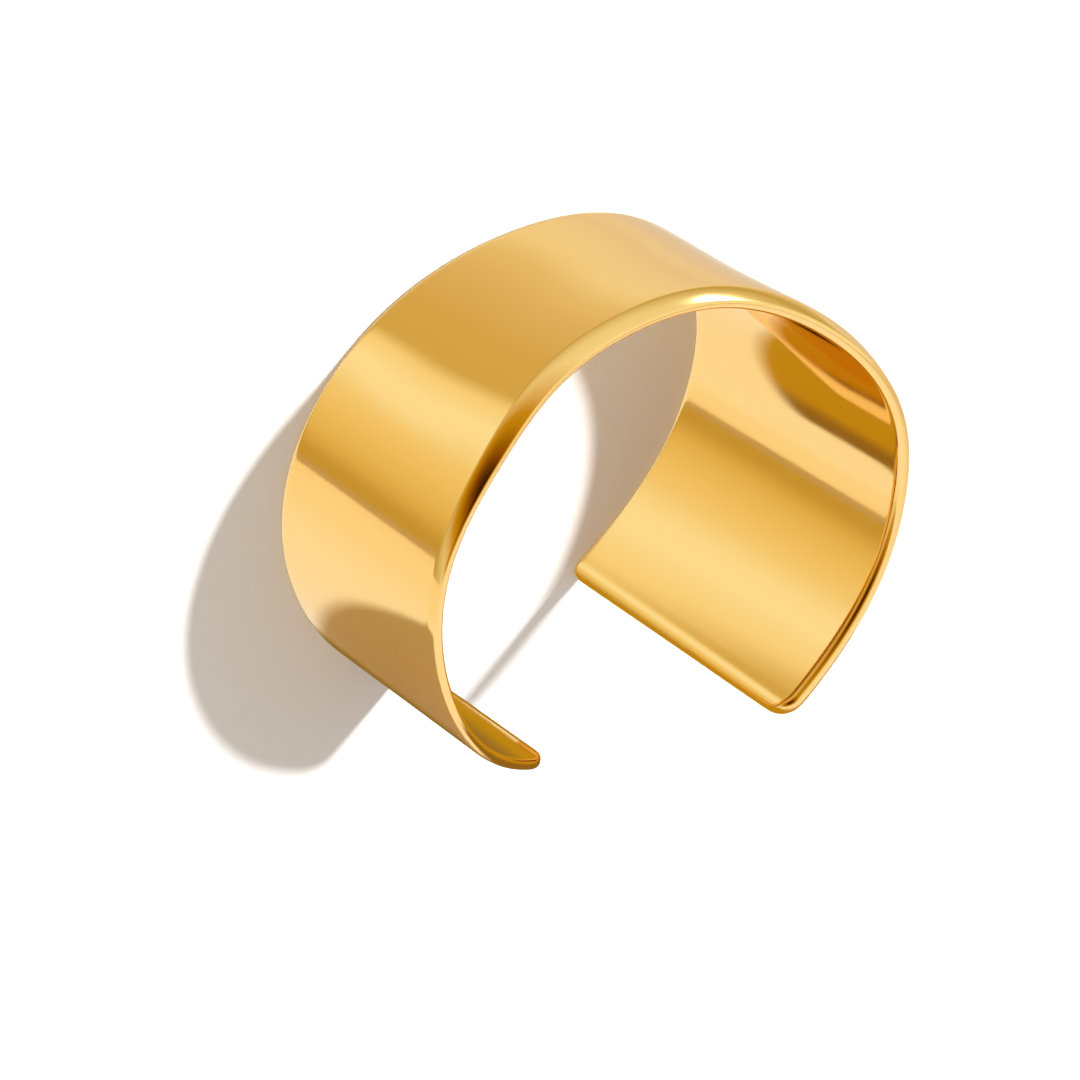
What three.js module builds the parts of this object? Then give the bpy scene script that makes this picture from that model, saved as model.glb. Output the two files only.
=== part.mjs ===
// Cuff bracelet: one open oval band of polished metal, lying on its lower edge.
// Millimetres, +Z up. The crown of the oval faces +Y, and the gap between the ends faces -Y.
import * as THREE from "three";
import { NURBSCurve } from "three/addons/curves/NURBSCurve.js";

// The oval, measured on the inner face at the lower edge
const INNER_WIDTH = 58;
const INNER_DEPTH = 49;

// The band, whose right end is the widest. Its upper edge leans outward by a share of LEAN.
const BAND_WIDTH = 36;
const LEAN = 2.4;

// The metal: thickest at a ridge below the upper edge, from where a bevel falls to the rim
const WALL = 2.2;
const RIM = 2;
const BEVEL = 2;
const DISH = 0.25;

// Rounding of the lower edge, of the corners and of the two ends. The rim is half round.
const LOWER_ROUND = 0.6;
const UPPER_CORNER = 3;
const LOWER_CORNER = 1.2;
const END_ROUND_SHARE = 0.75;
const END_FLAT_SHARE = 0.15;

// Share of the bevel's fall that is straight, which leaves the ridge crisp
const BEVEL_STRAIGHT_SHARE = 0.6;

// Fineness of the mesh
const PITCH = 1.9;
const CORNER_STEPS = 9;
const RIM_STEPS = 4;
const BEVEL_STEPS = 3;
const FACE_STEPS = 6;
const LOWER_STEPS = 3;
const INNER_STEPS = 5;

const GOLD = 0xe3b04b;

// Shape of the band, from the left end over the crown to the right end.
// side is a share of half of INNER_WIDTH, depth of INNER_DEPTH, height of BAND_WIDTH,
// lean of LEAN, bevel of BEVEL, wall of WALL and rim of RIM.
const BAND_ROWS = [
  { side: -0.41, depth: -0.56, height: 0.68, lean: 0.00, bevel: 0.30, wall: 0.62, rim: 0.65 },
  { side: -0.70, depth: -0.49, height: 0.73, lean: 0.20, bevel: 0.30, wall: 0.62, rim: 0.65 },
  { side: -1.02, depth: -0.20, height: 0.77, lean: 0.25, bevel: 0.35, wall: 0.62, rim: 0.65 },
  { side: -1.00, depth: 0.13, height: 0.74, lean: 0.10, bevel: 0.50, wall: 0.66, rim: 0.62 },
  { side: -0.69, depth: 0.33, height: 0.73, lean: 0.10, bevel: 0.80, wall: 1.00, rim: 0.60 },
  { side: -0.37, depth: 0.42, height: 0.67, lean: 0.45, bevel: 1.00, wall: 1.00, rim: 0.60 },
  { side: -0.02, depth: 0.445, height: 0.67, lean: 0.85, bevel: 0.85, wall: 1.00, rim: 0.60 },
  { side: 0.40, depth: 0.415, height: 0.68, lean: 1.00, bevel: 0.90, wall: 1.00, rim: 0.62 },
  { side: 0.74, depth: 0.305, height: 0.79, lean: 0.90, bevel: 1.00, wall: 1.00, rim: 0.70 },
  { side: 1.00, depth: 0.12, height: 0.92, lean: 0.65, bevel: 1.00, wall: 1.00, rim: 0.80 },
  { side: 1.02, depth: -0.14, height: 0.95, lean: 0.40, bevel: 0.80, wall: 1.00, rim: 0.90 },
  { side: 0.78, depth: -0.39, height: 0.99, lean: 0.20, bevel: 0.60, wall: 1.00, rim: 0.95 },
  { side: 0.375, depth: -0.525, height: 1.02, lean: -0.15, bevel: 0.50, wall: 1.00, rim: 1.00 },
];

// A smooth curve that the given points pull on, clamped at its two ends.
function pulledCurve(points) {
  const degree = 3;
  const spans = points.length - degree;
  const knots = [];
  for (let i = 0; i < degree; i += 1) {
    knots.push(0);
  }
  for (let i = 0; i <= spans; i += 1) {
    knots.push(i / spans);
  }
  for (let i = 0; i < degree; i += 1) {
    knots.push(1);
  }
  const controls = points.map(([x, y, z]) => new THREE.Vector4(x, y, z, 1));
  return new NURBSCurve(degree, knots, controls);
}

const plan = pulledCurve(
  BAND_ROWS.map((row) => [(row.side * INNER_WIDTH) / 2, row.depth * INNER_DEPTH, 0]),
);
const trim = pulledCurve(
  BAND_ROWS.map((row) => [row.height * BAND_WIDTH, row.lean * LEAN, row.bevel * BEVEL]),
);
const metal = pulledCurve(BAND_ROWS.map((row) => [row.wall * WALL, row.rim * RIM, 0]));

// Distances along the band at which its section is drawn, close together at the two ends.
function stationDistances(length) {
  const corner = Math.max(UPPER_CORNER, LOWER_CORNER);
  const rounded = [];
  for (let i = 0; i < CORNER_STEPS; i += 1) {
    rounded.push(corner * (1 - Math.cos((i / CORNER_STEPS) * (Math.PI / 2))));
  }
  const straight = length - 2 * corner;
  const count = Math.ceil(straight / PITCH);
  const middle = [];
  for (let i = 0; i <= count; i += 1) {
    middle.push(corner + (straight * i) / count);
  }
  const mirrored = rounded.map((distance) => length - distance).reverse();
  return [...rounded, ...middle, ...mirrored];
}

// How far a rounded corner has cut into the edge, at a distance from the end.
function cornerDrop(radius, distance) {
  const left = Math.max(radius - distance, 0);
  return radius - Math.sqrt(radius * radius - left * left);
}

// Share of the full thickness that the rounded end keeps, at a distance from the end.
function endThickness(distance, wall) {
  const left = Math.max(1 - distance / (END_ROUND_SHARE * wall), 0);
  return END_FLAT_SHARE + (1 - END_FLAT_SHARE) * Math.sqrt(1 - left * left);
}

// Points of an arc about a centre, from one turn to another, both included.
function arcPoints(centre, radius, from, to, steps) {
  const points = [];
  for (let i = 0; i <= steps; i += 1) {
    const turn = from + ((to - from) * i) / steps;
    points.push([centre[0] + radius * Math.cos(turn), centre[1] + radius * Math.sin(turn)]);
  }
  return points;
}

// The section's upper part as [out, up] pairs: round the rim from the inner face, then down the
// bevel to the ridge.
function upperPart(height, bevel, wall, rim) {
  const radius = rim / 2;
  const centre = [radius, height - radius];
  const steepest = BEVEL_STRAIGHT_SHARE + ((1 - BEVEL_STRAIGHT_SHARE) * Math.PI) / 2;
  const last = Math.atan((Math.max(wall - rim, 0) * steepest) / bevel);
  const points = [
    ...arcPoints(centre, radius, Math.PI, Math.PI / 2, RIM_STEPS),
    ...arcPoints(centre, radius, Math.PI / 2, last, RIM_STEPS).slice(1),
  ];
  const [rimOut, rimUp] = points.at(-1);
  for (let i = 1; i <= BEVEL_STEPS; i += 1) {
    const share = i / BEVEL_STEPS;
    const curved = Math.sin(share * (Math.PI / 2));
    const fall = BEVEL_STRAIGHT_SHARE * share + (1 - BEVEL_STRAIGHT_SHARE) * curved;
    points.push([rimOut + (wall - rimOut) * fall, rimUp - bevel * share]);
  }
  return points;
}

// The outer face below the ridge, which dips a little where the metal is thick.
function facePoints(ridgeUp, wall) {
  const dip = DISH * Math.max((wall - RIM) / (WALL - RIM), 0);
  const points = [];
  for (let i = 1; i < FACE_STEPS; i += 1) {
    const share = i / FACE_STEPS;
    const out = wall - (dip * (1 - Math.cos(2 * Math.PI * share))) / 2;
    points.push([out, ridgeUp + (LOWER_ROUND - ridgeUp) * share]);
  }
  return points;
}

// The whole section as [out, up] pairs, once round: up the inner face and down the outer face.
// Near the two ends it keeps only a share of its thickness, about the middle of the metal.
function sectionPoints(height, bevel, wall, rim, keptThickness) {
  const upper = upperPart(height, bevel, wall, rim);
  const outerCentre = [wall - LOWER_ROUND, LOWER_ROUND];
  const innerCentre = [LOWER_ROUND, LOWER_ROUND];
  const lower = [
    ...arcPoints(outerCentre, LOWER_ROUND, 0, -Math.PI / 2, LOWER_STEPS),
    ...arcPoints(innerCentre, LOWER_ROUND, -Math.PI / 2, -Math.PI, LOWER_STEPS),
  ];
  const inner = [];
  for (let i = 1; i < INNER_STEPS; i += 1) {
    inner.push([0, LOWER_ROUND + ((upper[0][1] - LOWER_ROUND) * i) / INNER_STEPS]);
  }
  const face = facePoints(upper.at(-1)[1], wall);
  const middle = wall / 2;
  const round = [...inner, ...upper, ...face, ...lower];
  return round.map(([out, up]) => [middle + (out - middle) * keptThickness, up]);
}

// The section at a distance along the band: its outline, and the same points in space.
function stationRing(distance, length) {
  const turn = plan.getUtoTmapping(distance / length);
  const foot = plan.getPoint(turn);
  const along = plan.getTangent(turn);
  const outward = new THREE.Vector3(-along.y, along.x, 0).normalize();
  const [fullHeight, lean, bevel] = trim.getPoint(turn).toArray();
  const [wall, rim] = metal.getPoint(turn).toArray();
  const fromEnd = Math.min(distance, length - distance);
  const kept = endThickness(fromEnd, wall);
  const lowest = cornerDrop(LOWER_CORNER, fromEnd);
  const highest = fullHeight - cornerDrop(UPPER_CORNER, fromEnd);
  const section = sectionPoints(highest - lowest, bevel, wall, rim, kept);
  const outline = section.map(([out, up]) => {
    const z = lowest + up;
    return new THREE.Vector2(out + (lean * z) / fullHeight, z);
  });
  const points = outline.map(({ x, y }) => foot.clone().addScaledVector(outward, x).setZ(y));
  return { outline, points };
}

// Closed body through the rings, with a flat cap at each end.
function loftedBody(rings) {
  const size = rings[0].points.length;
  const positions = rings.flatMap((ring) => ring.points).flatMap((point) => point.toArray());
  const faces = [];
  for (let i = 0; i < rings.length - 1; i += 1) {
    for (let j = 0; j < size; j += 1) {
      const a = i * size + j;
      const b = i * size + ((j + 1) % size);
      faces.push(a, a + size, b, b, a + size, b + size);
    }
  }
  const last = (rings.length - 1) * size;
  for (const [a, b, c] of THREE.ShapeUtils.triangulateShape(rings[0].outline, [])) {
    faces.push(c, b, a);
  }
  for (const [a, b, c] of THREE.ShapeUtils.triangulateShape(rings.at(-1).outline, [])) {
    faces.push(last + a, last + b, last + c);
  }
  const geometry = new THREE.BufferGeometry();
  geometry.setAttribute("position", new THREE.Float32BufferAttribute(positions, 3));
  geometry.setIndex(faces);
  return geometry;
}

function bandGeometry() {
  const length = plan.getLength();
  const rings = stationDistances(length).map((distance) => stationRing(distance, length));
  const geometry = loftedBody(rings);
  geometry.computeBoundingBox();
  const centre = geometry.boundingBox.getCenter(new THREE.Vector3());
  geometry.translate(-centre.x, -centre.y, 0);
  geometry.computeVertexNormals();
  return geometry;
}

const polishedGold = new THREE.MeshStandardMaterial({
  color: GOLD,
  metalness: 1,
  roughness: 0.12,
});

const band = new THREE.Mesh(bandGeometry(), polishedGold);
band.name = "cuff_band";

const cuff = new THREE.Group();
cuff.add(band);

export default cuff;
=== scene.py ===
"""Cuff bracelet: one open oval band of polished gold-coloured brass, lying on its lower edge.

Metres, +Z up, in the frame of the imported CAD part. The crown of the oval faces +Y and the gap
between the two ends faces -Y.
"""

import logging
import math
from bisect import bisect_left
from dataclasses import dataclass
from enum import Enum

import bmesh
import bpy
from mathutils import Matrix, Vector

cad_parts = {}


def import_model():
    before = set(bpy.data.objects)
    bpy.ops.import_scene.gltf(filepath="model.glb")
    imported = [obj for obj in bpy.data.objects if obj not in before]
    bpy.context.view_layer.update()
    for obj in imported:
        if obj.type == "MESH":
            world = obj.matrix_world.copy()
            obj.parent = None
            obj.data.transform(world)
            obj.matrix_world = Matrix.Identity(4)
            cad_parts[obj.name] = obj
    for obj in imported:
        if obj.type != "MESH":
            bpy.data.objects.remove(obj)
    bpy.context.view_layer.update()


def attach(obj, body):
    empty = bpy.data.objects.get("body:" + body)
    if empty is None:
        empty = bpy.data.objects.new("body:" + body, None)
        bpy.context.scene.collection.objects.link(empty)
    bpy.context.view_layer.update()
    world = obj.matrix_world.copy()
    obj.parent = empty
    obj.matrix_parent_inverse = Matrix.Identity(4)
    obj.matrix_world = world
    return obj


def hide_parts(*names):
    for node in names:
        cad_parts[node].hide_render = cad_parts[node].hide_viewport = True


LOG = logging.getLogger("cuff_bracelet")

CAD_NODE = "cuff_band"
BODY = "root"

MM = 0.001


class Edge(Enum):
    """The two long edges of the band, as it lies."""

    LOWER = "lower"
    UPPER = "upper"


# Small helpers


def linear(hex_code: str) -> tuple[float, float, float, float]:
    """Turns an sRGB hex colour into Blender's linear colour.

    Args:
        hex_code: six hex digits after a hash.

    Returns:
        Linear red, green and blue, and an alpha of one.
    """
    shares = [int(hex_code[i : i + 2], 16) / 255 for i in (1, 3, 5)]
    red, green, blue = (
        share / 12.92 if share <= 0.04045 else ((share + 0.055) / 1.055) ** 2.4
        for share in shares
    )
    return red, green, blue, 1.0


def add_node(
    tree: bpy.types.NodeTree,
    kind: str,
    inputs: dict[str | int, object] | None = None,
    **settings: object,
) -> bpy.types.Node:
    """Adds one node with its settings, its socket values and its links.

    Args:
        tree: node tree that takes the node.
        kind: Blender's name for the type of node.
        inputs: for each input socket, a plain value, or the output socket that feeds it.
        settings: the node's own properties.

    Returns:
        The new node.
    """
    node = tree.nodes.new(kind)
    for name, value in settings.items():
        setattr(node, name, value)
    for name, value in (inputs or {}).items():
        if isinstance(value, bpy.types.NodeSocket):
            tree.links.new(value, node.inputs[name])
        else:
            node.inputs[name].default_value = value
    return node


def set_ramp(node: bpy.types.Node, stops: list[tuple[float, tuple]]) -> None:
    """Sets the stops of a colour ramp.

    Args:
        node: the Color Ramp node.
        stops: position from 0 to 1 and linear colour of each stop, in order.
    """
    elements = node.color_ramp.elements
    while len(elements) > 1:
        elements.remove(elements[-1])
    elements[0].position, elements[0].color = stops[0]
    for position, colour in stops[1:]:
        elements.new(position).color = colour


def deselect_all() -> None:
    """Leaves nothing selected, so that an operator acts on the new piece alone."""
    bpy.ops.object.select_all(action="DESELECT")


# The shape of the band


@dataclass(frozen=True)
class BandRow:
    """One pull on the band's shape, as shares of the cuff's own sizes."""

    side: float
    depth: float
    height: float
    lean: float
    bevel: float
    wall: float
    rim: float


# From the left end over the crown to the right end, as in the CAD part
BAND_ROWS = (
    BandRow(side=-0.41, depth=-0.56, height=0.68, lean=0.00, bevel=0.30, wall=0.62, rim=0.65),
    BandRow(side=-0.70, depth=-0.49, height=0.73, lean=0.20, bevel=0.30, wall=0.62, rim=0.65),
    BandRow(side=-1.02, depth=-0.20, height=0.77, lean=0.25, bevel=0.35, wall=0.62, rim=0.65),
    BandRow(side=-1.00, depth=0.13, height=0.74, lean=0.10, bevel=0.50, wall=0.66, rim=0.62),
    BandRow(side=-0.69, depth=0.33, height=0.73, lean=0.10, bevel=0.80, wall=1.00, rim=0.60),
    BandRow(side=-0.37, depth=0.42, height=0.67, lean=0.45, bevel=1.00, wall=1.00, rim=0.60),
    BandRow(side=-0.02, depth=0.445, height=0.67, lean=0.85, bevel=0.85, wall=1.00, rim=0.60),
    BandRow(side=0.40, depth=0.415, height=0.68, lean=1.00, bevel=0.90, wall=1.00, rim=0.62),
    BandRow(side=0.74, depth=0.305, height=0.79, lean=0.90, bevel=1.00, wall=1.00, rim=0.70),
    BandRow(side=1.00, depth=0.12, height=0.92, lean=0.65, bevel=1.00, wall=1.00, rim=0.80),
    BandRow(side=1.02, depth=-0.14, height=0.95, lean=0.40, bevel=0.80, wall=1.00, rim=0.90),
    BandRow(side=0.78, depth=-0.39, height=0.99, lean=0.20, bevel=0.60, wall=1.00, rim=0.95),
    BandRow(side=0.375, depth=-0.525, height=1.02, lean=-0.15, bevel=0.50, wall=1.00, rim=1.00),
)


class PulledCurve:
    """A smooth curve that its points pull on, clamped at its two ends."""

    DEGREE = 3
    # Steps in which its length is measured, and the half step that gives its direction
    FINENESS = 1200
    NEARBY = 0.0005

    def __init__(self, points: list[Vector]) -> None:
        """Keeps the points and measures the length along the curve.

        Args:
            points: what pulls on the curve, in order.
        """
        self.points = points
        spans = len(points) - self.DEGREE
        inner = [i / spans for i in range(spans + 1)]
        self.knots = [0.0] * self.DEGREE + inner + [1.0] * self.DEGREE
        self.reached = [0.0]
        before = self.at(0.0)
        for i in range(1, self.FINENESS + 1):
            here = self.at(i / self.FINENESS)
            self.reached.append(self.reached[-1] + (here - before).length)
            before = here

    def at(self, turn: float) -> Vector:
        """Finds a point of the curve by de Boor's rule.

        Args:
            turn: the curve's own parameter, from 0 to 1.

        Returns:
            The point.
        """
        spans = len(self.points) - self.DEGREE
        first = min(int(turn * spans), spans - 1)
        pulled = [self.points[first + i].copy() for i in range(self.DEGREE + 1)]
        for level in range(1, self.DEGREE + 1):
            for i in range(self.DEGREE, level - 1, -1):
                low = self.knots[first + i]
                high = self.knots[first + i + self.DEGREE + 1 - level]
                share = (turn - low) / (high - low)
                pulled[i] = pulled[i - 1].lerp(pulled[i], share)
        return pulled[self.DEGREE]

    def direction(self, turn: float) -> Vector:
        """Finds the direction of the curve.

        Args:
            turn: the curve's own parameter, from 0 to 1.

        Returns:
            Unit vector along the curve.
        """
        before, after = max(turn - self.NEARBY, 0.0), min(turn + self.NEARBY, 1.0)
        return (self.at(after) - self.at(before)).normalized()

    @property
    def length(self) -> float:
        """Length of the whole curve."""
        return self.reached[-1]

    def turn_at(self, distance: float) -> float:
        """Finds the curve's parameter at a distance along it.

        Args:
            distance: length along the curve from its start.

        Returns:
            The parameter, from 0 to 1.
        """
        after = min(max(bisect_left(self.reached, distance), 1), self.FINENESS)
        low, high = self.reached[after - 1], self.reached[after]
        return (after - 1 + (distance - low) / (high - low)) / self.FINENESS


@dataclass
class CuffBand:
    """The whole cuff. Its sizes are in millimetres, as in the CAD part."""

    rows: tuple[BandRow, ...] = BAND_ROWS
    inner_width: float = 58.0
    inner_depth: float = 49.0
    band_width: float = 36.0
    lean: float = 2.4
    wall: float = 2.2
    rim: float = 2.0
    bevel: float = 2.0
    dish: float = 0.25
    lower_round: float = 0.6
    upper_corner: float = 3.0
    lower_corner: float = 1.2
    end_round_share: float = 0.75
    end_flat_share: float = 0.15
    bevel_straight_share: float = 0.6
    # Fineness of the cage
    pitch: float = 1.5
    corner_steps: int = 9
    rim_steps: int = 4
    lower_steps: int = 3
    # Where the cage has its points, as shares of the bevel and of the face below it. The points
    # lie close together at the ridge, which keeps it crisp.
    bevel_shares: tuple[float, ...] = (0.3, 0.6, 0.86, 1.0)
    face_shares: tuple[float, ...] = (0.008, 0.03, 0.09, 0.2, 0.35, 0.5, 0.65, 0.8, 0.92, 0.98)
    smoothing: int = 2

    def __post_init__(self) -> None:
        """Lays out the curves that the band follows."""
        self.oval_centre = Vector()
        half = self.inner_width / 2
        self.plan = PulledCurve(
            [Vector((row.side * half, row.depth * self.inner_depth, 0.0)) for row in self.rows]
        )
        self.trim = PulledCurve(
            [
                Vector((row.height * self.band_width, row.lean * self.lean, row.bevel * self.bevel))
                for row in self.rows
            ]
        )
        self.metal = PulledCurve(
            [Vector((row.wall * self.wall, row.rim * self.rim, 0.0)) for row in self.rows]
        )

    @property
    def wall_steps(self) -> int:
        """Steps of the mesh up one face of the band, between the rounded edges."""
        return len(self.bevel_shares) + len(self.face_shares) + 1

    @property
    def ring_size(self) -> int:
        """Points once round the section."""
        upper = 2 * self.rim_steps + 1
        lower = 2 * (self.lower_steps + 1)
        return 2 * (self.wall_steps - 1) + upper + lower

    def station_distances(self) -> list[float]:
        """Distances along the band at which its section is drawn, close together at the ends."""
        corner = max(self.upper_corner, self.lower_corner)
        quarter = math.pi / 2
        rounded = [
            corner * (1 - math.cos(quarter * i / self.corner_steps))
            for i in range(self.corner_steps)
        ]
        straight = self.plan.length - 2 * corner
        count = math.ceil(straight / self.pitch)
        middle = [corner + straight * i / count for i in range(count + 1)]
        mirrored = [self.plan.length - distance for distance in reversed(rounded)]
        return rounded + middle + mirrored

    def end_thickness(self, from_end: float, wall: float) -> float:
        """Share of the full thickness that the rounded end keeps.

        Args:
            from_end: distance from the nearer end.
            wall: full thickness of the metal there.

        Returns:
            The share, from end_flat_share to 1.
        """
        left = max(1 - from_end / (self.end_round_share * wall), 0.0)
        return self.end_flat_share + (1 - self.end_flat_share) * math.sqrt(1 - left * left)

    def arc(
        self, centre: tuple[float, float], radius: float, first: float, last: float, steps: int
    ) -> list[tuple[float, float]]:
        """Draws an arc of the section.

        Args:
            centre: distance out and height of its centre.
            radius: its radius.
            first: the turn where it starts.
            last: the turn where it ends.
            steps: steps of the mesh along it.

        Returns:
            Pairs of distance out and height, both ends included.
        """
        turns = [first + (last - first) * i / steps for i in range(steps + 1)]
        return [
            (centre[0] + radius * math.cos(turn), centre[1] + radius * math.sin(turn))
            for turn in turns
        ]

    def upper_rim(self, height: float, bevel: float, wall: float, rim: float) -> list[tuple]:
        """Draws the half-round rim, from the inner face to where the bevel starts.

        Args:
            height: height of the band here.
            bevel: height of the bevel.
            wall: thickness of the metal at the ridge.
            rim: thickness of the metal at the rim.

        Returns:
            Pairs of distance out and height above the lower edge.
        """
        radius = rim / 2
        centre = (radius, height - radius)
        straight = self.bevel_straight_share
        steepest = straight + (1 - straight) * math.pi / 2
        last = math.atan(max(wall - rim, 0.0) * steepest / bevel)
        top = math.pi / 2
        inner = self.arc(centre, radius, math.pi, top, self.rim_steps)
        return inner + self.arc(centre, radius, top, last, self.rim_steps)[1:]

    def outer_wall(self, start: tuple[float, float], bevel: float, wall: float) -> list[tuple]:
        """Draws the outer face: down the bevel to the ridge, then the dipping face.

        Args:
            start: where the rim ends.
            bevel: height of the bevel.
            wall: thickness of the metal at the ridge.

        Returns:
            Pairs of distance out and height above the lower edge.
        """
        rim_out, rim_up = start
        straight = self.bevel_straight_share
        points = []
        for share in self.bevel_shares:
            fall = straight * share + (1 - straight) * math.sin(math.pi / 2 * share)
            points.append((rim_out + (wall - rim_out) * fall, rim_up - bevel * share))
        ridge = rim_up - bevel
        thick = max((wall - self.rim) / (self.wall - self.rim), 0.0)
        for share in self.face_shares:
            dip = self.dish * thick * (1 - math.cos(2 * math.pi * share)) / 2
            points.append((wall - dip, ridge + (self.lower_round - ridge) * share))
        return points

    def section(self, height: float, bevel: float, wall: float, rim: float) -> list[tuple]:
        """Draws the whole section: up the inner face, over the rim and down the outer face.

        Args:
            height: height of the band here.
            bevel: height of the bevel.
            wall: thickness of the metal at the ridge.
            rim: thickness of the metal at the rim.

        Returns:
            Pairs of distance out and height above the lower edge.
        """
        upper = self.upper_rim(height, bevel, wall, rim)
        outer = self.outer_wall(upper[-1], bevel, wall)
        low, quarter = self.lower_round, math.pi / 2
        lower = self.arc((wall - low, low), low, 0.0, -quarter, self.lower_steps)
        lower += self.arc((low, low), low, -quarter, -math.pi, self.lower_steps)
        stretch = (upper[0][1] - low) / (upper[-1][1] - low)
        inner = [(0.0, low + (up - low) * stretch) for _, up in reversed(outer)]
        return inner + upper + outer + lower

    def corner_drop(self, edge: Edge, from_end: float) -> float:
        """How far a rounded corner has cut into one edge.

        Args:
            edge: the long edge that the corner is on.
            from_end: distance from the nearer end.

        Returns:
            The drop.
        """
        radius = self.upper_corner if edge is Edge.UPPER else self.lower_corner
        left = max(radius - from_end, 0.0)
        return radius - math.sqrt(radius * radius - left * left)

    def station(self, distance: float) -> list[Vector]:
        """Places the section at one distance along the band.

        Args:
            distance: length along the band from its left end.

        Returns:
            The section's points in space, in metres.
        """
        turn = self.plan.turn_at(distance)
        foot = self.plan.at(turn)
        along = self.plan.direction(turn)
        outward = Vector((-along.y, along.x, 0.0))
        full_height, lean, bevel = self.trim.at(turn)
        wall, rim, _ = self.metal.at(turn)
        from_end = min(distance, self.plan.length - distance)
        lowest = self.corner_drop(Edge.LOWER, from_end)
        highest = full_height - self.corner_drop(Edge.UPPER, from_end)
        kept = self.end_thickness(from_end, wall)
        points = []
        for out, up in self.section(highest - lowest, bevel, wall, rim):
            height = lowest + up
            shifted = wall / 2 + (out - wall / 2) * kept + lean * height / full_height
            point = foot + outward * shifted
            points.append(Vector((point.x, point.y, height)) * MM)
        return points

    def start_section(self, stations: list[list[Vector]]) -> bpy.types.Object:
        """Adds a circle at the left end and shapes it to the section there.

        Args:
            stations: the band's sections in order.

        Returns:
            The new object, with one open outline.
        """
        first = stations[0]
        centre = sum(first, Vector()) / len(first)
        deselect_all()
        bpy.ops.mesh.primitive_circle_add(
            vertices=len(first), radius=self.wall / 2 * MM, fill_type="NOTHING", location=centre
        )
        band = bpy.context.object
        bpy.ops.object.transform_apply(location=True, rotation=True, scale=True)
        for vertex, place in zip(band.data.vertices, first):
            vertex.co = place
        return band

    def draw_along(self, band: bpy.types.Object, stations: list[list[Vector]]) -> None:
        """Extrudes the section from station to station.

        Args:
            band: the object that holds the first section.
            stations: the band's sections in order.
        """
        bpy.ops.object.mode_set(mode="EDIT")
        bpy.ops.mesh.select_mode(type="VERT")
        bpy.ops.mesh.select_all(action="SELECT")
        size = len(stations[0])
        for station in stations[1:]:
            bpy.ops.mesh.extrude_region_move()
            mesh = bmesh.from_edit_mesh(band.data)
            mesh.verts.ensure_lookup_table()
            moved = [vertex for vertex in mesh.verts if vertex.select]
            for vertex in moved:
                source = next(
                    edge.other_vert(vertex)
                    for edge in vertex.link_edges
                    if not edge.other_vert(vertex).select
                )
                vertex.co = station[source.index % size]
            bmesh.update_edit_mesh(band.data)
        bpy.ops.object.mode_set(mode="OBJECT")

    def close_end(self, band: bpy.types.Object, first: int) -> None:
        """Closes one end: a ladder of faces between the walls, and a cap at each edge.

        Args:
            band: the open band.
            first: number of the end ring's first point.
        """
        rim_start = self.wall_steps - 1
        rim_end = rim_start + 2 * self.rim_steps
        lower_start = rim_end + self.wall_steps
        inner = range(-1, rim_start + 1)
        outer = range(rim_end, lower_start + 1)
        self.bridge(band, [first + i % self.ring_size for i in (*inner, *outer)])
        for edge in (range(rim_start, rim_end + 1), range(lower_start, self.ring_size)):
            self.fill(band, [first + i for i in edge])

    def select_edges(self, band: bpy.types.Object, chosen: list[int]) -> None:
        """Selects the edges between neighbours of an end ring, in edit mode.

        Args:
            band: the band.
            chosen: numbers of the points.
        """
        bpy.ops.mesh.select_all(action="DESELECT")
        mesh = bmesh.from_edit_mesh(band.data)
        mesh.verts.ensure_lookup_table()
        wanted = set(chosen)
        for edge in mesh.edges:
            numbers = [vertex.index for vertex in edge.verts]
            if edge.is_boundary and wanted.issuperset(numbers):
                edge.select_set(True)
        bmesh.update_edit_mesh(band.data)

    def bridge(self, band: bpy.types.Object, chosen: list[int]) -> None:
        """Bridges the inner and the outer wall of an end.

        Args:
            band: the band.
            chosen: numbers of the two walls' points.
        """
        bpy.ops.object.mode_set(mode="EDIT")
        bpy.ops.mesh.select_mode(type="EDGE")
        self.select_edges(band, chosen)
        bpy.ops.mesh.bridge_edge_loops()
        bpy.ops.object.mode_set(mode="OBJECT")

    def fill(self, band: bpy.types.Object, chosen: list[int]) -> None:
        """Fills what a rounded edge leaves open at an end.

        Args:
            band: the band.
            chosen: numbers of the edge's points.
        """
        bpy.ops.object.mode_set(mode="EDIT")
        bpy.ops.mesh.select_mode(type="EDGE")
        self.select_edges(band, chosen)
        bpy.ops.mesh.edge_face_add()
        bpy.ops.object.mode_set(mode="OBJECT")

    def finish_mesh(self, band: bpy.types.Object) -> None:
        """Turns the faces outwards, smooths the cage and centres the band on the floor.

        Args:
            band: the closed cage.
        """
        bpy.ops.object.mode_set(mode="EDIT")
        bpy.ops.mesh.select_all(action="SELECT")
        bpy.ops.mesh.normals_make_consistent(inside=False)
        bpy.ops.object.mode_set(mode="OBJECT")
        smooth = band.modifiers.new("Smooth metal", "SUBSURF")
        smooth.levels = self.smoothing
        smooth.render_levels = self.smoothing
        bpy.ops.object.modifier_apply(modifier=smooth.name)
        bpy.ops.object.shade_smooth()
        places = [vertex.co for vertex in band.data.vertices]
        low = Vector([min(place[i] for place in places) for i in range(3)])
        high = Vector([max(place[i] for place in places) for i in range(3)])
        middle = (low + high) / 2
        self.oval_centre = Vector((-middle.x, -middle.y, 0.0))
        band.data.transform(Matrix.Translation((-middle.x, -middle.y, -low.z)))

    def dress(self, band: bpy.types.Object, finish: "PolishedGold") -> None:
        """Gives the band its finish and its place in the frame.

        Args:
            band: the finished mesh.
            finish: the polished gold.
        """
        band.name = "polished_cuff"
        band.data.name = "polished_cuff"
        band.data.materials.append(finish.build())
        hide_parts(CAD_NODE)
        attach(band, BODY)

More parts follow.
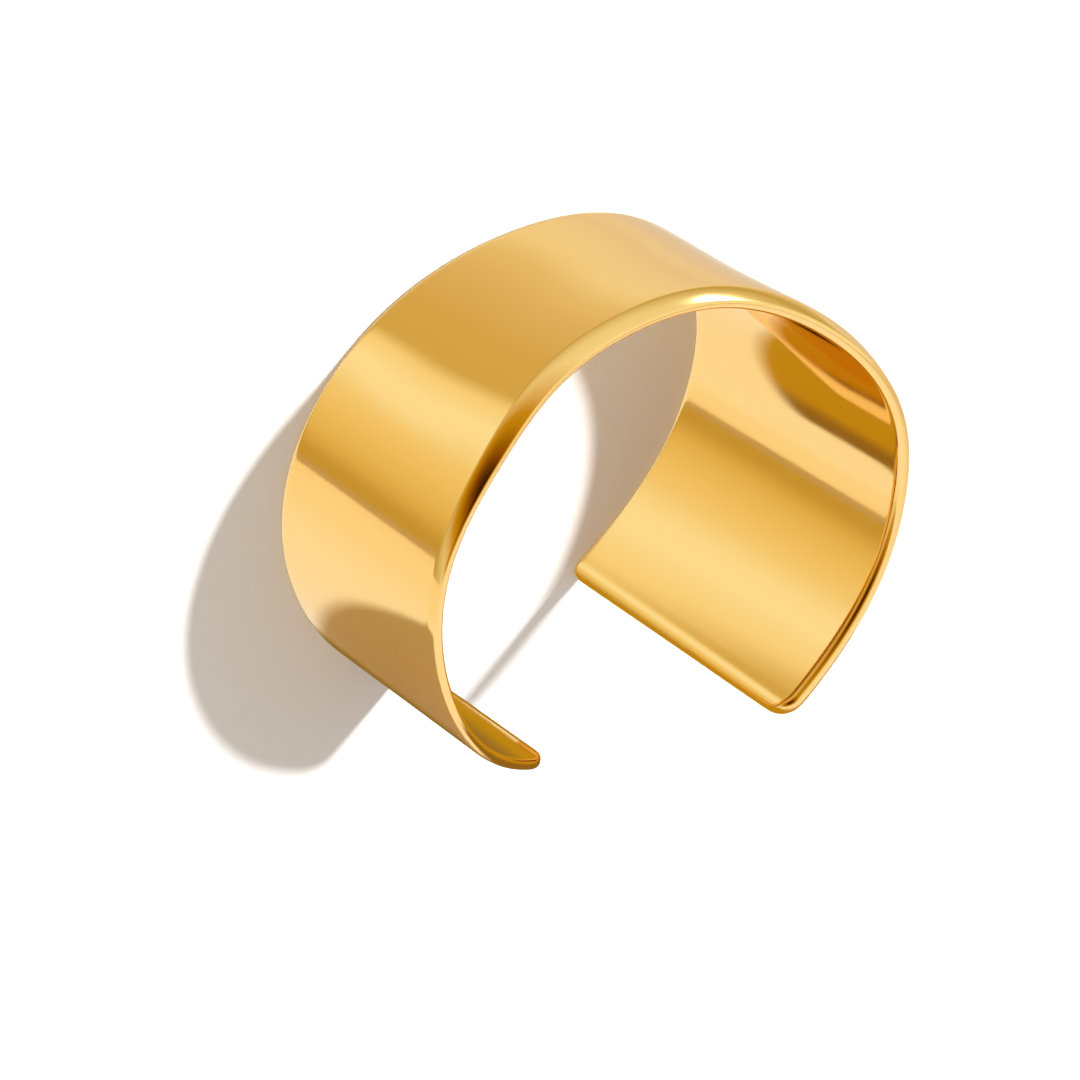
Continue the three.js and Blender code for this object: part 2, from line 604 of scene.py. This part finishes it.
    def build(self, finish: "PolishedGold") -> bpy.types.Object:
        """Models and dresses the band.

        Args:
            finish: the polished gold.

        Returns:
            The finished band.
        """
        stations = [self.station(distance) for distance in self.station_distances()]
        band = self.start_section(stations)
        self.draw_along(band, stations)
        for first in (0, (len(stations) - 1) * self.ring_size):
            self.close_end(band, first)
        self.finish_mesh(band)
        self.dress(band, finish)
        return band


# Finishes


@dataclass(frozen=True)
class PolishedGold:
    """Gold plate on brass, mirror polished: warm and bright, almost without grain.

    A slow haze makes some reflections a little softer than others, and faint wheel marks keep
    them from being perfect. Real wheel marks are finer: these are as coarse as they need to be to
    show.
    """

    name: str = "Polished gold plate on brass"
    colour: str = "#FFDA8E"
    roughness_low: float = 0.05
    roughness_high: float = 0.10
    haze_mm: float = 9.0
    haze_detail: float = 3.0
    # The values that most of the haze lies between
    haze_low: float = 0.3
    haze_high: float = 0.7
    mark_mm: float = 0.35
    mark_detail: float = 2.0
    mark_depth_mm: float = 0.0006

    def build(self) -> bpy.types.Material:
        """Makes the material."""
        material = bpy.data.materials.new(self.name)
        material.use_nodes = True
        tree = material.node_tree
        shader = tree.nodes["Principled BSDF"]
        shader.inputs["Base Color"].default_value = linear(self.colour)
        shader.inputs["Metallic"].default_value = 1.0
        place = add_node(tree, "ShaderNodeTexCoord").outputs["Object"]
        haze = add_node(
            tree,
            "ShaderNodeTexNoise",
            {"Vector": place, "Scale": 1 / (self.haze_mm * MM), "Detail": self.haze_detail},
        )
        gloss = add_node(
            tree,
            "ShaderNodeMapRange",
            {
                "Value": haze.outputs["Fac"],
                "From Min": self.haze_low,
                "From Max": self.haze_high,
                "To Min": self.roughness_low,
                "To Max": self.roughness_high,
            },
        )
        tree.links.new(gloss.outputs["Result"], shader.inputs["Roughness"])
        marks = add_node(
            tree,
            "ShaderNodeTexNoise",
            {"Vector": place, "Scale": 1 / (self.mark_mm * MM), "Detail": self.mark_detail},
        )
        bump = add_node(
            tree,
            "ShaderNodeBump",
            {"Height": marks.outputs["Fac"], "Distance": self.mark_depth_mm * MM},
        )
        tree.links.new(bump.outputs["Normal"], shader.inputs["Normal"])
        return material


@dataclass(frozen=True)
class PaperToneOrShade:
    """The colour of a sheet at one distance to the right of the cuff's middle: on the floor the
    paper's own tone, on the reflector board painted light falloff and painted shadow.
    """

    right_mm: float
    colour: str


def add_tones(
    tree: bpy.types.NodeTree, right: bpy.types.NodeSocket, tones: tuple[PaperToneOrShade, ...]
) -> bpy.types.NodeSocket:
    """Adds a colour that changes from left to right.

    Args:
        tree: node tree of the material.
        right: distance to the right, in metres.
        tones: the colours in order.

    Returns:
        The colour.
    """
    first, last = tones[0].right_mm, tones[-1].right_mm
    share = add_node(
        tree, "ShaderNodeMapRange", {"Value": right, "From Min": first * MM, "From Max": last * MM}
    )
    ramp = add_node(tree, "ShaderNodeValToRGB", {"Fac": share.outputs["Result"]})
    stops = [((tone.right_mm - first) / (last - first), linear(tone.colour)) for tone in tones]
    set_ramp(ramp, stops)
    return ramp.outputs["Color"]


@dataclass(frozen=True)
class PaintedShadowGlow:
    """Painted shadow on a sheet between the cuff's ends: a patch that emits amber like shade warmed
    by the gold, darkest brown by the left end.
    """

    left_mm: float = -22.5
    right_mm: float = 28.0
    top_mm: float = 38.0
    # Height of the patch's lower edge at the cuff's middle, and its rise to the right
    low_mm: float = -16.8
    rise: float = 0.28
    # Half of the width over which each edge of the patch fades
    fade_mm: float = 1.5
    # Amber of the painted shadow from left to right, with painted contact shade of dark brown by
    # the left end
    tones: tuple[PaperToneOrShade, ...] = (
        PaperToneOrShade(-24.0, "#BC9A50"),
        PaperToneOrShade(-20.0, "#8E6F34"),
        PaperToneOrShade(-12.0, "#957130"),
        PaperToneOrShade(-4.0, "#C09820"),
        PaperToneOrShade(28.0, "#C29C2C"),
    )

    def apply(
        self, tree: bpy.types.NodeTree, place: bpy.types.Node, paper: bpy.types.NodeSocket
    ) -> None:
        """Lays the painted shadow over the paper's colour: the paper turns black there and emits
        amber instead.

        Args:
            tree: node tree of the sheet's material.
            place: the node that splits the place on the sheet into X, Y and Z.
            paper: the paper's own colour.
        """
        right, up = place.outputs["X"], place.outputs["Z"]
        above_slope = add_node(
            tree, "ShaderNodeMath", {0: right, 1: -self.rise, 2: up}, operation="MULTIPLY_ADD"
        )
        edges = (
            (right, self.left_mm, self.fade_mm),
            (right, self.right_mm, -self.fade_mm),
            (up, self.top_mm, -self.fade_mm),
            (above_slope.outputs[0], self.low_mm, self.fade_mm),
        )
        # Soft-edged mask of the painted shadow patch
        within = 1.0
        for distance, limit, fade in edges:
            inside = add_node(
                tree,
                "ShaderNodeMapRange",
                {
                    "Value": distance,
                    "From Min": (limit - fade) * MM,
                    "From Max": (limit + fade) * MM,
                },
            )
            both = add_node(
                tree, "ShaderNodeMath", {0: within, 1: inside.outputs[0]}, operation="MULTIPLY"
            )
            within = both.outputs[0]
        # Inside the painted shadow the paper's own colour goes black and the patch emits the amber
        # tones
        paper_under_painted_shadow = add_node(
            tree, "ShaderNodeMix", {0: within, 6: paper, 7: linear("#000000")}, data_type="RGBA"
        )
        shader = tree.nodes["Principled BSDF"]
        tree.links.new(paper_under_painted_shadow.outputs[2], shader.inputs["Base Color"])
        tree.links.new(add_tones(tree, right, self.tones), shader.inputs["Emission Color"])
        tree.links.new(within, shader.inputs["Emission Strength"])


@dataclass(frozen=True)
class MattPaper:
    """Seamless background paper: matt, its colour changing slowly from left to right (on the
    reflector board, painted light falloff), with the tooth of the sheet.
    """

    name: str
    tones: tuple[PaperToneOrShade, ...]
    # Painted shadow patch that emits amber between the cuff's ends
    painted_shadow: PaintedShadowGlow | None = None
    roughness: float = 0.9
    tooth_mm: float = 1.2
    tooth_depth_mm: float = 0.02
    tooth_strength: float = 0.05

    def build(self) -> bpy.types.Material:
        """Makes the material."""
        material = bpy.data.materials.new(self.name)
        material.use_nodes = True
        tree = material.node_tree
        shader = tree.nodes["Principled BSDF"]
        shader.inputs["Roughness"].default_value = self.roughness
        shader.inputs["Specular IOR Level"].default_value = 0.0
        place = add_node(tree, "ShaderNodeTexCoord").outputs["Object"]
        parts = add_node(tree, "ShaderNodeSeparateXYZ", {"Vector": place})
        # Colour from left to right: on the floor the paper's own tone, on the reflector board
        # painted light falloff
        colour = add_tones(tree, parts.outputs["X"], self.tones)
        tree.links.new(colour, shader.inputs["Base Color"])
        # The reflector board carries a painted shadow patch that emits amber
        if self.painted_shadow is not None:
            self.painted_shadow.apply(tree, parts, colour)
        tooth = add_node(
            tree, "ShaderNodeTexNoise", {"Vector": place, "Scale": 1 / (self.tooth_mm * MM)}
        )
        bump = add_node(
            tree,
            "ShaderNodeBump",
            {
                "Height": tooth.outputs["Fac"],
                "Strength": self.tooth_strength,
                "Distance": self.tooth_depth_mm * MM,
            },
        )
        tree.links.new(bump.outputs["Normal"], shader.inputs["Normal"])
        return material


# Set


@dataclass(frozen=True)
class Surround:
    """One stop of the light that surrounds the cuff, by the angle round the upright axis."""

    angle: float
    tone: str


@dataclass(frozen=True)
class ZoneStop:
    """One stop of a zone of light, by the share that the zone follows."""

    share: float
    tone: str


@dataclass(frozen=True)
class Zone:
    """Light that takes over from what surrounds it as a share of the direction grows."""

    starts: float
    full: float
    stops: tuple[ZoneStop, ...]

    def lay_over(
        self,
        tree: bpy.types.NodeTree,
        around: bpy.types.NodeSocket,
        share: bpy.types.NodeSocket,
    ) -> bpy.types.NodeSocket:
        """Lays the zone over the surrounding light.

        Args:
            tree: the world's node tree.
            around: colour outside the zone.
            share: what the zone follows, from -1 to 1.

        Returns:
            The colour with the zone in it.
        """
        spread = add_node(
            tree, "ShaderNodeMapRange", {"Value": share, "From Min": -1.0, "From Max": 1.0}
        )
        ramp = add_node(tree, "ShaderNodeValToRGB", {"Fac": spread.outputs["Result"]})
        set_ramp(ramp, [((stop.share + 1) / 2, linear(stop.tone)) for stop in self.stops])
        within = add_node(
            tree,
            "ShaderNodeMapRange",
            {"Value": share, "From Min": self.starts, "From Max": self.full},
        )
        mixed = add_node(
            tree,
            "ShaderNodeMix",
            {0: within.outputs["Result"], 6: around, 7: ramp.outputs["Color"]},
            data_type="RGBA",
        )
        return mixed.outputs[2]


@dataclass(frozen=True)
class Sun:
    """A soft sun that lights only the objects it is given."""

    name: str
    towards: tuple[float, float, float]
    strength: float
    width_degrees: float
    tone: str

    def build(self, lit: list[bpy.types.Object]) -> bpy.types.Object:
        """Adds the sun.

        Args:
            lit: the objects that it lights.

        Returns:
            The light.
        """
        data = bpy.data.lights.new(self.name, "SUN")
        data.energy = self.strength
        data.angle = math.radians(self.width_degrees)
        data.color = linear(self.tone)[:3]
        sun = bpy.data.objects.new(self.name, data)
        sun.rotation_euler = Vector(self.towards).to_track_quat("Z", "Y").to_euler()
        bpy.context.scene.collection.objects.link(sun)
        group = bpy.data.collections.new(f"lit by {self.name}")
        for item in lit:
            group.objects.link(item)
        sun.light_linking.receiver_collection = group
        return sun


@dataclass
class Studio:
    """White floor, reflector board, surrounding light and two suns."""

    sheet_size: float = 6.0
    floor_paper: MattPaper = MattPaper(
        name="White paper of the floor",
        tones=(PaperToneOrShade(-100.0, "#F6F5F3"), PaperToneOrShade(100.0, "#F8F7F5")),
    )
    board_paper: MattPaper = MattPaper(
        name="Reflector board paper with painted falloff",
        # Painted light falloff: near white by the cuff, warmer far to the left and darker to the
        # right
        tones=(
            PaperToneOrShade(-600.0, "#F7E8CE"),
            PaperToneOrShade(-120.0, "#F8EEDD"),
            PaperToneOrShade(-60.0, "#F9F6F4"),
            PaperToneOrShade(30.0, "#F9F6F5"),
            PaperToneOrShade(100.0, "#DDCEBB"),
            PaperToneOrShade(300.0, "#E7DAC5"),
        ),
        # Painted shadow between the cuff's ends, emitting amber
        painted_shadow=PaintedShadowGlow(),
    )
    floor_key: Sun = Sun("floor_key", (0.5, 0.35, 1.0), 3.2, 4.0, "#FFFFFF")
    board_key: Sun = Sun("board_key", (0.75, 0.66, 0.15), 3.95, 3.0, "#DAEAFF")
    surround: tuple[Surround, ...] = (
        Surround(-180, "#C4AD89"),
        Surround(-60, "#C4AD89"),
        Surround(-20, "#DCCEB6"),
        Surround(0, "#E7DAC5"),
        Surround(17, "#F0E6D7"),
        Surround(32, "#F3EBD8"),
        Surround(45, "#E7D7B5"),
        Surround(60, "#DFCBA4"),
        Surround(84, "#D6BF84"),
        Surround(104.5, "#D4BC7E"),
        Surround(110.5, "#F9EFD0"),
        Surround(121, "#FEFFFC"),
        Surround(128, "#FDFCF3"),
        Surround(139, "#F5E7C0"),
        Surround(150, "#EFDBA6"),
        Surround(163, "#E3CB88"),
        Surround(174, "#C8AB5B"),
        Surround(180, "#C6A856"),
    )
    # The light above, by the upright share of a direction
    above: Zone = Zone(
        starts=-0.42,
        full=-0.22,
        stops=(ZoneStop(-0.2, "#C4B274"), ZoneStop(0.2, "#EFEAD8"), ZoneStop(0.6, "#FFFBF0")),
    )
    # The dark room behind the camera, by how nearly a direction points there
    room: Zone = Zone(
        starts=0.66,
        full=0.84,
        stops=(
            ZoneStop(0.0, "#D2AC48"),
            ZoneStop(0.8, "#CCA238"),
            ZoneStop(0.88, "#BF9410"),
            ZoneStop(0.96, "#8A5400"),
            ZoneStop(0.99, "#3A1C00"),
        ),
    )
    room_towards: tuple[float, float, float] = (-0.525, 0.566, 0.635)
    # The soft light that falls on the papers: warm from below, white from above
    soft_below: str = "#AA8626"
    soft_above: str = "#D0CBC6"
    soft_blend: float = 0.1
    backdrop: str = "#FDFDFD"

    def add_sheet(self, name: str, matrix: Matrix, paper: MattPaper) -> bpy.types.Object:
        """Adds a large flat sheet of paper, which is part of the set.

        Args:
            name: name of the sheet.
            matrix: where it stands.
            paper: its finish.

        Returns:
            The sheet.
        """
        deselect_all()
        bpy.ops.mesh.primitive_plane_add(size=self.sheet_size)
        sheet = bpy.context.object
        sheet.name = name
        sheet.data.transform(matrix)
        sheet.data.materials.append(paper.build())
        return sheet

    def add_floor(self) -> bpy.types.Object:
        """Adds the pale floor, which the gold doesn't mirror."""
        floor = self.add_sheet("floor", Matrix.Identity(4), self.floor_paper)
        floor.visible_glossy = False
        floor.visible_diffuse = False
        floor.visible_shadow = False
        return floor

    def add_board(self, cuff: bpy.types.Object) -> bpy.types.Object:
        """Adds the board that leans on the cuff's ends, which only the gold's reflections show.

        Args:
            cuff: the finished band.

        Returns:
            The board.
        """
        places = [vertex.co for vertex in cuff.data.vertices]
        left = min((place for place in places if place.x < 0), key=lambda place: place.y)
        right = min((place for place in places if place.x > 0), key=lambda place: place.y)
        turn = math.atan2(right.y - left.y, right.x - left.x)
        upright = Matrix.Rotation(turn, 4, "Z") @ Matrix.Rotation(-math.pi / 2, 4, "X")
        placed = Matrix.Translation((left.x, left.y, 0.0)) @ upright
        board = self.add_sheet("reflector_board", placed, self.board_paper)
        board.visible_camera = False
        board.visible_diffuse = False
        board.visible_transmission = False
        board.visible_shadow = False
        return board

    def mirrored_light(self, tree: bpy.types.NodeTree) -> bpy.types.Node:
        """Adds the light that the gold mirrors: its tone turns round the upright axis.

        Args:
            tree: the world's node tree.

        Returns:
            The Background node.
        """
        direction = add_node(tree, "ShaderNodeTexCoord").outputs["Generated"]
        parts = add_node(tree, "ShaderNodeSeparateXYZ", {"Vector": direction})
        angle = add_node(
            tree,
            "ShaderNodeMath",
            {0: parts.outputs["Y"], 1: parts.outputs["X"]},
            operation="ARCTAN2",
        )
        share = add_node(
            tree,
            "ShaderNodeMapRange",
            {"Value": angle.outputs[0], "From Min": -math.pi, "From Max": math.pi},
        )
        ramp = add_node(tree, "ShaderNodeValToRGB", {"Fac": share.outputs["Result"]})
        set_ramp(ramp, [((stop.angle + 180) / 360, linear(stop.tone)) for stop in self.surround])
        facing = add_node(
            tree,
            "ShaderNodeVectorMath",
            {0: direction, 1: self.room_towards},
            operation="DOT_PRODUCT",
        )
        colour = self.above.lay_over(tree, ramp.outputs["Color"], parts.outputs["Z"])
        colour = self.room.lay_over(tree, colour, facing.outputs["Value"])
        return add_node(tree, "ShaderNodeBackground", {"Color": colour})

    def soft_light(self, tree: bpy.types.NodeTree) -> bpy.types.Node:
        """Adds the soft light that falls on the papers.

        Args:
            tree: the world's node tree.

        Returns:
            The Background node.
        """
        direction = add_node(tree, "ShaderNodeTexCoord").outputs["Generated"]
        parts = add_node(tree, "ShaderNodeSeparateXYZ", {"Vector": direction})
        share = add_node(
            tree,
            "ShaderNodeMapRange",
            {
                "Value": parts.outputs["Z"],
                "From Min": -self.soft_blend,
                "From Max": self.soft_blend,
            },
        )
        colour = add_node(
            tree,
            "ShaderNodeMix",
            {0: share.outputs["Result"], 6: linear(self.soft_below), 7: linear(self.soft_above)},
            data_type="RGBA",
        )
        return add_node(tree, "ShaderNodeBackground", {"Color": colour.outputs[2]})

    def add_world(self) -> None:
        """Surrounds the cuff with one light for its reflections, one for paper and a backdrop."""
        world = bpy.data.worlds.new("Studio surround")
        bpy.context.scene.world = world
        world.use_nodes = True
        tree = world.node_tree
        tree.nodes.clear()
        mirrored, soft = self.mirrored_light(tree), self.soft_light(tree)
        backdrop = add_node(tree, "ShaderNodeBackground", {"Color": linear(self.backdrop)})
        ray = add_node(tree, "ShaderNodeLightPath")
        lighting = add_node(
            tree,
            "ShaderNodeMixShader",
            {0: ray.outputs["Is Glossy Ray"], 1: soft.outputs[0], 2: mirrored.outputs[0]},
        )
        seen = add_node(
            tree,
            "ShaderNodeMixShader",
            {0: ray.outputs["Is Camera Ray"], 1: lighting.outputs[0], 2: backdrop.outputs[0]},
        )
        add_node(tree, "ShaderNodeOutputWorld", {"Surface": seen.outputs[0]})

    def build(self, cuff: bpy.types.Object) -> None:
        """Sets up the floor, the board, the lights and the tone of the picture.

        Args:
            cuff: the finished band.
        """
        floor = self.add_floor()
        board = self.add_board(cuff)
        self.add_world()
        self.floor_key.build([floor])
        self.board_key.build([board, cuff])
        bpy.context.scene.view_settings.view_transform = "Standard"


@dataclass
class StudioCamera:
    """The camera at the photograph's angle to the cuff: the crown is up in the picture."""

    # Turned from the upright axis towards the left end, and raised towards the crown
    swing: float = -39.59
    rise: float = 34.48
    distance_mm: float = 1657.5
    lens: float = 502.8
    sensor: float = 36.0
    nearest: float = 0.01
    farthest: float = 20.0
    # What the middle of the picture looks at, right of and below the oval's own centre
    aim_right_mm: float = 5.11
    aim_up_mm: float = -13.74

    def build(self, oval_centre: Vector) -> bpy.types.Object:
        """Adds the camera and makes it the scene's own.

        Args:
            oval_centre: where the oval's own centre lies, in metres.

        Returns:
            The camera.
        """
        swing, rise = math.radians(self.swing), math.radians(self.rise)
        back = Vector(
            (math.sin(swing) * math.cos(rise), math.sin(rise), math.cos(swing) * math.cos(rise))
        )
        right = Vector((math.cos(swing), 0.0, -math.sin(swing)))
        up = back.cross(right)
        centre = oval_centre / MM
        aim = centre + right * self.aim_right_mm + up * self.aim_up_mm
        place = centre + back * self.distance_mm
        axis = (place - aim).normalized()
        across = up.cross(axis).normalized()
        turned = Matrix((across, axis.cross(across), axis)).transposed().to_4x4()
        data = bpy.data.cameras.new("studio_camera")
        data.lens = self.lens
        data.sensor_width = self.sensor
        data.clip_start = self.nearest
        data.clip_end = self.farthest
        camera = bpy.data.objects.new("studio_camera", data)
        camera.matrix_world = Matrix.Translation(place * MM) @ turned
        bpy.context.scene.collection.objects.link(camera)
        bpy.context.scene.camera = camera
        return camera


def main() -> None:
    """Builds the cuff, its set and its camera."""
    logging.basicConfig(level=logging.INFO, format="%(message)s")
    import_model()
    band = CuffBand()
    cuff = band.build(PolishedGold())
    LOG.info("%s: %d faces", cuff.name, len(cuff.data.polygons))
    Studio().build(cuff)
    LOG.info("studio: floor, board, surrounding light and two suns")
    StudioCamera().build(band.oval_centre)
    LOG.info("camera in place")


if __name__ == "__main__":
    main()
